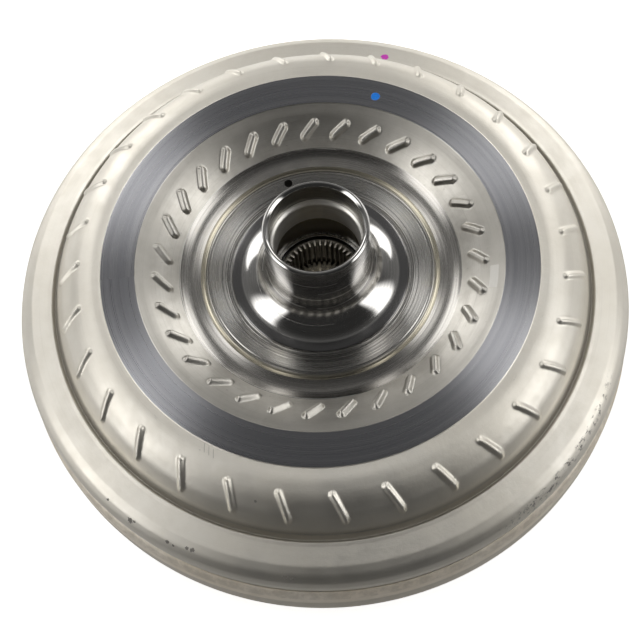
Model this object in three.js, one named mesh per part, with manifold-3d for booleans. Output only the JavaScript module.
// Torque converter: welded housing with pump hub, turbine with lock-up piston
// and torsional damper, and a stator on a roller one-way clutch.
// Millimetres, +Z up along the axis of rotation, pump hub (neck) on top.
// Origin: on the axis, in the plane of the drive lugs' mounting faces.
import * as THREE from 'three';
import { mergeVertices } from 'three/addons/utils/BufferGeometryUtils.js';
import Module from 'manifold-3d';

const wasm = await Module();
wasm.setup();

// ---------- driving dimensions ----------
const OVERALL_R = 146.9;      // outer radius of the front cover rim
const BAND_Z = 88;            // machined band on top of the impeller shell
const BAND_R0 = 85.2;
const BAND_R1 = 100.7;
const NECK_R = 23.8;          // 47.6 mm pump hub journal
const NECK_TOP = 116;
const BORE_UP_R = 21.15;      // upper bore of the neck
const BORE_R = 19.33;         // lower bore of the neck
const HUB_FLANGE_R = 55.7;
const FLOOR_Z = 10;           // outer face of the front cover
const COVER_T = 4.5;
const LUG_COUNT = 6;
const LUG_PCD = 236;
const LUG_R = 13;
const LUG_HOLE_R = 4.6;
const PILOT_R = 21.5;
const PILOT_Z = 1;            // the crank pilot ends 1 mm above the lug faces
const IMPELLER_BLADES = 31;
const TURBINE_BLADES = 29;
const STATOR_BLADES = 13;
const RACE_TEETH = 42;        // spline of the clutch inner race
const RACE_TOP = 70.9;
const RACE_BOTTOM = 54;
const RACE_R = 18.83;
const RACE_ROOT = 17.6;
const RACE_TIP = 15.6;
const HUB_TEETH = 24;         // input shaft spline in the turbine hub
const HUB_ROOT = 11.8;
const HUB_TIP = 10.2;
const ROLLERS = 6;
const ROLLER_R = 2.9;
const ROLLER_PCR = 22.1;
const SPRINGS = 6;
const SPRING_PCR = 127;
const SPRING_R = 8;
const SPRING_Z = 35.5;
const SPRING_HALF_DEG = 25.5;
const GAP = 0.3;

const N_SHELL = 40;           // facets of the large turned shells
const N_MID = 32;
const N_SMALL = 26;

// ---------- helpers ----------
const rad = (d) => (d * Math.PI) / 180;

// Position-only geometry with merged vertices, no empty triangles, faces out.
function clean(source) {
  let g = source.clone();
  g.deleteAttribute('normal');
  g.deleteAttribute('uv');
  g = mergeVertices(g, 1e-4);
  const p = g.attributes.position;
  const idx = g.index.array;
  const keep = [];
  let volume = 0;
  const a = new THREE.Vector3();
  const b = new THREE.Vector3();
  const c = new THREE.Vector3();
  for (let i = 0; i < idx.length; i += 3) {
    const [i0, i1, i2] = [idx[i], idx[i + 1], idx[i + 2]];
    if (i0 === i1 || i1 === i2 || i0 === i2) continue;
    keep.push(i0, i1, i2);
    a.fromBufferAttribute(p, i0);
    b.fromBufferAttribute(p, i1);
    c.fromBufferAttribute(p, i2);
    volume += a.dot(b.cross(c));
  }
  if (volume < 0)
    for (let i = 0; i < keep.length; i += 3)
      [keep[i + 1], keep[i + 2]] = [keep[i + 2], keep[i + 1]];
  g.setIndex(keep);
  return g;
}

function toSolid(geometry) {
  const g = clean(geometry);
  return new wasm.Manifold(
    new wasm.Mesh({
      numProp: 3,
      vertProperties: new Float32Array(g.attributes.position.array),
      triVerts: new Uint32Array(g.index.array),
    }),
  );
}

function toGeometry(solid) {
  const m = solid.getMesh();
  const n = m.vertProperties.length / m.numProp;
  const out = new Float32Array(n * 3);
  for (let i = 0; i < n; i++)
    for (let k = 0; k < 3; k++) out[i * 3 + k] = m.vertProperties[i * m.numProp + k];
  const g = new THREE.BufferGeometry();
  g.setAttribute('position', new THREE.BufferAttribute(out, 3));
  g.setIndex(Array.from(m.triVerts));
  return g;
}

// Solid of revolution about Z from a closed list of [radius, z] points.
function turned(points, segments) {
  const list = points.map(([r, z]) => new THREE.Vector2(r, z));
  list.push(list[0].clone());
  return clean(new THREE.LatheGeometry(list, segments).rotateX(Math.PI / 2));
}

// The same for a profile that starts and ends on the axis.
function turnedSolid(points, segments) {
  const list = points.map(([r, z]) => new THREE.Vector2(r, z));
  return clean(new THREE.LatheGeometry(list, segments).rotateX(Math.PI / 2));
}

const ring = (r0, r1, z0, z1, segments) =>
  turned([[r0, z0], [r1, z0], [r1, z1], [r0, z1]], segments);

// Prism of a closed outline (list of [x, y]) with an optional hole outline.
function prism(outline, z0, z1, hole) {
  const shape = new THREE.Shape(outline.map(([x, y]) => new THREE.Vector2(x, y)));
  if (hole) shape.holes.push(new THREE.Path(hole.map(([x, y]) => new THREE.Vector2(x, y))));
  const g = new THREE.ExtrudeGeometry(shape, {
    depth: z1 - z0, bevelEnabled: false, steps: 1, curveSegments: 8,
  });
  g.translate(0, 0, z0);
  return clean(g);
}

function circle(r, n, phase = 0) {
  const pts = [];
  for (let i = 0; i < n; i++) {
    const t = phase + (i / n) * Math.PI * 2;
    pts.push([r * Math.cos(t), r * Math.sin(t)]);
  }
  return pts;
}

// Straight-flanked spline outline: teeth point inwards from root to tip.
function splineOutline(teeth, root, tip) {
  const pts = [];
  const pitch = (Math.PI * 2) / teeth;
  for (let i = 0; i < teeth; i++) {
    const t = i * pitch;
    for (const [f, r] of [[-0.32, root], [-0.13, tip], [0.13, tip], [0.32, root]])
      pts.push([r * Math.cos(t + f * pitch), r * Math.sin(t + f * pitch)]);
  }
  return pts;
}

function cylinder(r, z0, z1, n, x = 0, y = 0) {
  const g = new THREE.CylinderGeometry(r, r, z1 - z0, n);
  g.rotateX(Math.PI / 2).translate(x, y, (z0 + z1) / 2);
  return clean(g);
}

const fuse = (list) => toGeometry(list.map(toSolid).reduce((a, b) => a.add(b)));
function cut(body, tools) {
  let s = toSolid(body);
  for (const t of tools) s = s.subtract(toSolid(t));
  return toGeometry(s);
}

function finish(color, roughness, metalness) {
  return new THREE.MeshStandardMaterial({ color, roughness, metalness });
}

const converter = new THREE.Group();
function add(name, geometry, material, parent = converter) {
  const mesh = new THREE.Mesh(geometry, material);
  mesh.name = name;
  parent.add(mesh);
  return mesh;
}

// ---------- housing ----------
// Impeller (pump) shell: deep-drawn torus wall, machined band on its crest,
// valley, flat flange, rounded shoulder, and a skirt that enters the cover.
add('impeller_shell', turned([
  [56.0, 76.15], [60.9, 75.6], [65.76, 77.43], [BAND_R0, BAND_Z], [BAND_R1, BAND_Z],
  [106.0, 87.6], [111.0, 86.4], [115.6, 83.8], [119.6, 79.4], [122.6, 73.8],
  [124.6, 67.6], [126.2, 66.0], [128.05, 67.9], [137.0, 66.0], [139.8, 65.2],
  [143.3, 62.0], [145.2, 57.8], [145.2, 53.0], [143.6, 47.0],
  [143.6, 32.0], [140.4, 32.0], [141.3, 56.0], [138.8, 60.6],
  [136.0, 61.9], [124.0, 62.2], [122.0, 63.4], [118.0, 75.6],
  [110.6, 82.4], [100.7, 84.2], [86.6, 84.2], [66.8, 73.4], [56.0, 72.1],
], N_SHELL), finish(0xd9d4c8, 0.42, 0.9));

// Pump hub: hollow neck, flared foot, flange that laps under the shell's edge.
add('impeller_hub', turned([
  [BORE_UP_R + 0.5, NECK_TOP], [NECK_R - 0.5, NECK_TOP], [NECK_R, NECK_TOP - 0.5],
  [NECK_R, 88.0], [24.79, 83.0], [27.61, 78.81], [31.8, 76.0], [36.4, 74.6],
  [41.55, 73.35], [HUB_FLANGE_R, 76.12], [HUB_FLANGE_R, 71.8], [60.0, 71.8],
  [60.0, 69.8], [30.5, 69.8], [30.5, 71.0], [22.0, 71.0], [22.0, 84.5],
  [BORE_R, 87.5], [BORE_R, 102.6], [BORE_UP_R, 103.4], [BORE_UP_R, NECK_TOP - 0.5],
], N_MID), finish(0x8d8a86, 0.14, 1.0));

// Blade outline in the radius-height plane, bent round the axis by angle(r).
function blade(outline, thickness, angle, index, count) {
  const shape = new THREE.Shape(outline.map(([r, z]) => new THREE.Vector2(r, z)));
  const g = new THREE.ExtrudeGeometry(shape, { depth: thickness, bevelEnabled: false, steps: 1 });
  g.translate(0, 0, -thickness / 2);
  const p = g.attributes.position;
  for (let i = 0; i < p.count; i++) {
    const r = p.getX(i);
    const z = p.getY(i);
    const side = p.getZ(i);
    const t = rad(angle(r) + (360 * index) / count) + side / r;
    p.setXYZ(i, r * Math.cos(t), r * Math.sin(t), z);
  }
  return g;
}

const impellerBlade = [
  [65.0, 72.2], [86.8, 83.7], [100.6, 83.7], [111.8, 80.4], [121.3, 61.4],
  [110.2, 61.4], [98.0, 72.0], [78.0, 72.0], [66.5, 62.4],
];
const impellerCore = [
  [65.9, 61.8], [77.7, 72.6], [98.3, 72.6], [110.9, 60.6],
  [109.6, 60.6], [97.7, 71.4], [78.3, 71.4], [67.1, 61.8],
];
{
  const solids = [turned(impellerCore, IMPELLER_BLADES)];
  for (let i = 0; i < IMPELLER_BLADES; i++)
    solids.push(blade(impellerBlade, 1.2, (r) => 0.00833 * (r - 98.8) ** 2, i, IMPELLER_BLADES));
  add('impeller_vane_ring', fuse(solids), finish(0x9c9a94, 0.5, 0.9));
}

// Front cover: flat pressed plate with a rounded corner and a rim that takes
// the impeller shell's skirt; the top edge is the sloped closing weld.
add('front_cover', turnedSolid([
  [0, FLOOR_Z], [129.0, FLOOR_Z], [137.5, 11.9], [143.9, 17.2], [146.6, 24.0],
  [OVERALL_R, 29.0], [OVERALL_R, 39.7], [146.3, 42.6], [144.2, 45.0], [143.95, 45.0],
  [143.95, 31.6], [142.4, 31.6], [142.4, 28.0], [138.5, 18.5], [129.0, FLOOR_Z + COVER_T],
  [0, FLOOR_Z + COVER_T],
], N_SHELL), finish(0xcfcabd, 0.45, 0.9));

// Crank pilot: spigot with a shallow centre recess.
add('crank_pilot', turnedSolid([
  [0, 5.0], [8.0, 5.0], [9.0, PILOT_Z], [PILOT_R - 1.2, PILOT_Z], [PILOT_R, PILOT_Z + 1.2],
  [PILOT_R, FLOOR_Z - GAP], [0, FLOOR_Z - GAP],
], 24), finish(0xa7a49c, 0.3, 1.0));

// Drive lugs: bosses with a blind threaded hole, opening downwards.
for (let i = 0; i < LUG_COUNT; i++) {
  const lug = add('drive_lug_' + (i + 1), turnedSolid([
    [0, 7.6], [LUG_HOLE_R, 7.6], [LUG_HOLE_R, 0], [LUG_R - 0.8, 0], [LUG_R, 0.8],
    [LUG_R, FLOOR_Z - GAP], [0, FLOOR_Z - GAP],
  ], 12), finish(0xb3b0a8, 0.35, 1.0));
  const t = rad(30 + (360 * i) / LUG_COUNT);
  lug.position.set((LUG_PCD / 2) * Math.cos(t), (LUG_PCD / 2) * Math.sin(t), 0);
}

// ---------- turbine ----------
const RIVETS = 6;
const RIVET_R = 2.5;
const RIVET_PCR = 42;
const rivetHoles = (z0, z1) => {
  const list = [];
  for (let i = 0; i < RIVETS; i++) {
    const t = rad(30 + (360 * i) / RIVETS);
    list.push(cylinder(RIVET_R + GAP, z0, z1, 8, RIVET_PCR * Math.cos(t), RIVET_PCR * Math.sin(t)));
  }
  return list;
};

add('turbine_shell', cut(turned([
  [33.0, 50.4], [54.5, 50.4], [64.0, 43.0], [75.0, 35.8], [90.0, 32.7],
  [105.0, 35.2], [115.2, 42.0], [121.8, 58.0], [123.7, 58.0],
  [117.0, 41.0], [105.8, 33.2], [90.0, 30.6], [74.2, 33.8],
  [62.8, 41.3], [53.8, 48.4], [33.0, 48.4],
], N_MID), rivetHoles(45, 53)), finish(0xa3a19b, 0.45, 0.9));

const turbineBlade = [
  [62.6, 45.2], [75.4, 36.4], [90.0, 33.3], [104.4, 36.0], [114.0, 42.4],
  [120.7, 57.4], [110.2, 57.4], [98.0, 46.6], [78.0, 46.6], [66.5, 56.2],
];
const turbineCore = [
  [65.9, 56.8], [77.7, 46.0], [98.3, 46.0], [110.9, 58.0],
  [109.6, 58.0], [97.7, 47.2], [78.3, 47.2], [67.1, 56.8],
];
{
  const solids = [turned(turbineCore, TURBINE_BLADES)];
  for (let i = 0; i < TURBINE_BLADES; i++)
    solids.push(blade(turbineBlade, 1.2, (r) => -0.012 * (r - 96) ** 2, i, TURBINE_BLADES));
  add('turbine_vane_ring', fuse(solids), finish(0x9c9a94, 0.5, 0.9));
}

// Turbine hub: splined bore, riveted flange, thrust seat and piston sleeve.
add('turbine_hub', cut(turned([
  [9.0, 50.0], [20.3, 50.0], [20.3, 47.2], [31.6, 47.2], [31.6, 48.1], [52.0, 48.1],
  [52.0, 44.2], [30.5, 44.2], [27.0, 41.5], [27.0, 24.2], [24.5, 24.2], [24.5, 21.6],
  [27.0, 21.6], [27.0, 17.9], [9.0, 17.9],
], N_SMALL), [prism(splineOutline(HUB_TEETH, HUB_ROOT, HUB_TIP), 10, 60), ...rivetHoles(40, 53)]),
finish(0x8f8b80, 0.35, 1.0));

for (let i = 0; i < RIVETS; i++) {
  const rivet = add('turbine_rivet_' + (i + 1), turnedSolid([
    [0, 42.2], [4.0, 42.2], [4.0, 43.9], [RIVET_R, 43.9], [RIVET_R, 50.7], [4.0, 50.7],
    [4.0, 51.6], [0, 51.6],
  ], 7), finish(0x8a8781, 0.4, 1.0));
  const t = rad(30 + (360 * i) / RIVETS);
  rivet.position.set(RIVET_PCR * Math.cos(t), RIVET_PCR * Math.sin(t), 0);
}

// Driven ring of the damper: welded round the turbine shell, six fingers.
{
  const solids = [ring(114.8, 118.4, 34.0, 37.6, N_MID)];
  for (let i = 0; i < SPRINGS; i++) {
    const g = new THREE.BoxGeometry(18, 15.5, 3.6).translate(117.6 + 8.6, 0, 35.8);
    solids.push(g.rotateZ(rad(60 * i)));
  }
  add('damper_driven_ring', fuse(solids), finish(0x9a978f, 0.4, 1.0));
}

// Plain thrust washer between the turbine hub and the front cover.
add('front_thrust_washer', ring(13.5, 24.0, 14.8, 17.6, 20), finish(0xb08d57, 0.4, 1.0));

// Seal ring in the groove of the hub sleeve, running in the piston's bore.
add('hub_seal_ring', ring(24.8, 27.15, 21.9, 23.9, 20), finish(0x3a3632, 0.5, 0.1));

// ---------- damper and lock-up piston ----------
// Spring retainer: floor, outer wall and six abutments; slots take the
// piston's drive tabs.
{
  const solids = [turned([
    [98.0, 24.0], [139.4, 24.0], [139.4, 45.0], [137.4, 45.0], [137.4, 26.0], [98.0, 26.0],
  ], N_MID)];
  for (let i = 0; i < SPRINGS; i++) {
    const g = new THREE.BoxGeometry(19.5, 15.5, 7.0).translate(119 + 9.75, 0, 28.9);
    solids.push(g.rotateZ(rad(60 * i)));
  }
  const slots = [];
  for (let i = 0; i < SPRINGS; i++)
    slots.push(new THREE.BoxGeometry(4.2, 18.6, 8).translate(106, 0, 25).rotateZ(rad(60 * i + 30)));
  add('damper_retainer', cut(fuse(solids), slots), finish(0x8f8c85, 0.4, 1.0));
}

// Arc springs of the damper, as solid bars of the coils' outer size.
class Arc extends THREE.Curve {
  constructor(r, z, from, to) {
    super();
    Object.assign(this, { r, z, from, to });
  }
  getPoint(u, target = new THREE.Vector3()) {
    const t = this.from + (this.to - this.from) * u;
    return target.set(this.r * Math.cos(t), this.r * Math.sin(t), this.z);
  }
}
for (let i = 0; i < SPRINGS; i++) {
  const mid = 60 * i + 30;
  const section = new THREE.Shape(
    circle(SPRING_R, 8, Math.PI / 8).map(([x, y]) => new THREE.Vector2(x, y)));
  const g = new THREE.ExtrudeGeometry(section, {
    steps: 5, bevelEnabled: false,
    extrudePath: new Arc(SPRING_PCR, SPRING_Z, rad(mid - SPRING_HALF_DEG), rad(mid + SPRING_HALF_DEG)),
  });
  add('damper_spring_' + (i + 1), clean(g), finish(0x6f6c66, 0.35, 1.0));
}

// Lock-up piston: collar on the hub sleeve, dished web, friction land, tabs.
{
  const solids = [turned([
    [27.5, 17.8], [31.5, 17.8], [33.5, 22.0], [92.0, 22.0], [97.0, 17.6], [120.0, 17.6],
    [120.0, 20.4], [98.2, 20.4], [93.4, 24.8], [34.0, 24.8], [31.5, 31.0], [27.5, 31.0],
  ], N_MID)];
  for (let i = 0; i < SPRINGS; i++)
    solids.push(new THREE.BoxGeometry(3.2, 16, 8).translate(106, 0, 24).rotateZ(rad(60 * i + 30)));
  add('lockup_piston', fuse(solids), finish(0xa09e98, 0.35, 1.0));
}
add('friction_lining', ring(98.5, 119.0, 16.0, 17.3, N_MID), finish(0x5a4a38, 0.85, 0.0));

// ---------- stator and one-way clutch ----------
// Stator wheel: cast ring with a floor for the clutch, airfoils, outer band.
{
  const solids = [
    turned([
      [30.3, 53.6], [30.3, 66.95], [31.7, 66.95], [31.7, 68.45], [30.3, 68.45], [30.3, 69.0],
      [37.0, 69.0], [37.0, 51.3], [20.5, 51.3], [20.5, 53.6],
    ], N_SMALL),
    ring(57.0, 59.4, 52.0, 68.4, N_SMALL),
  ];
  const foil = [
    [-5.8, -7.4], [-3.0, -7.8], [1.9, 0.2], [5.2, 7.4], [4.2, 7.6],
    [-0.8, 3.4], [-5.4, -3.6],
  ];
  const shape = new THREE.Shape(foil.map(([x, y]) => new THREE.Vector2(x, y)));
  for (let i = 0; i < STATOR_BLADES; i++) {
    const g = new THREE.ExtrudeGeometry(shape, { depth: 21.4, bevelEnabled: false, steps: 1 });
    // section x -> tangential, section y -> height, depth -> radial
    g.rotateX(Math.PI / 2).rotateZ(Math.PI / 2).translate(57.8 - 21.4, 0, 60.2);
    const box = new THREE.Box3().setFromBufferAttribute(g.attributes.position);
    if (box.max.x > 58 || box.min.x < 36) g.translate(57.9 - box.max.x, 0, 0);
    solids.push(g.rotateZ((Math.PI * 2 * i) / STATOR_BLADES));
  }
  add('stator_wheel', fuse(solids), finish(0xc9c9c6, 0.5, 0.9));
}

// Clutch outer race: six cam pockets, each with one roller and one spring.
{
  const inner = [];
  for (let i = 0; i < ROLLERS; i++) {
    const a = 60 * i;
    for (const [d, r] of [
      [-8, 19.3], [0, 19.3], [8, 19.3], [9, 24.9], [18, 25.3], [30, 25.5], [42, 25.5], [51, 25.4],
    ]) inner.push([r * Math.cos(rad(a + d)), r * Math.sin(rad(a + d))]);
  }
  add('clutch_outer_race', prism(circle(30.0, 36), 53.9, 64.9, inner), finish(0x94918b, 0.25, 1.0));
}
// Clutch inner race: its spline takes the fixed stator support shaft.
add('clutch_inner_race', prism(circle(RACE_R, 48), RACE_BOTTOM, RACE_TOP,
  splineOutline(RACE_TEETH, RACE_ROOT, RACE_TIP)), finish(0x8d8a84, 0.3, 1.0));

for (let i = 0; i < ROLLERS; i++) {
  const a = rad(60 * i + 42);
  const roller = add('clutch_roller_' + (i + 1), cylinder(ROLLER_R, 54.3, 64.5, 12),
    finish(0xaaa7a0, 0.15, 1.0));
  roller.position.set(ROLLER_PCR * Math.cos(a), ROLLER_PCR * Math.sin(a), 0);
  const b = rad(60 * i + 22);
  const spring = add('clutch_spring_' + (i + 1),
    clean(new THREE.CylinderGeometry(1.9, 1.9, 8.4, 8)), finish(0x77746e, 0.35, 1.0));
  spring.position.set(22.3 * Math.cos(b), 22.3 * Math.sin(b), 59.4);
  spring.rotation.z = b;
}
add('clutch_cap', ring(20.5, 30.0, 65.2, 66.9, 24), finish(0x9a978f, 0.35, 1.0));
// Snap ring: split ring in the stator wheel's groove.
{
  const full = ring(28.9, 31.4, 67.2, 68.2, 24);
  const slot = new THREE.BoxGeometry(8, 5, 4).translate(30, 0, 67.7);
  add('clutch_snap_ring', cut(full, [slot]), finish(0x6d6a65, 0.35, 1.0));
}

// ---------- needle thrust bearings ----------
function needleCage(z, r0, r1, n) {
  const solids = [ring(r0, r1, z - 0.3, z + 0.3, 20)];
  for (let i = 0; i < n; i++) {
    const g = new THREE.CylinderGeometry(0.72, 0.72, r1 - r0 - 1.6, 4);
    g.rotateZ(Math.PI / 2).translate((r0 + r1) / 2, 0, z);
    solids.push(g.rotateZ((Math.PI * 2 * (i + 0.5)) / n));
  }
  return fuse(solids);
}
const bearingSteel = () => finish(0xb5b3ad, 0.2, 1.0);
add('upper_bearing_cage', needleCage(68.95, 21.2, 27.8, 10), bearingSteel());
add('upper_bearing_race', ring(20.6, 28.3, 70.0, 70.7, 20), bearingSteel());
add('lower_bearing_cage', needleCage(49.9, 21.8, 30.4, 10), bearingSteel());
add('lower_bearing_race', ring(21.2, 31.0, 47.5, 48.8, 20), bearingSteel());

export default converter;
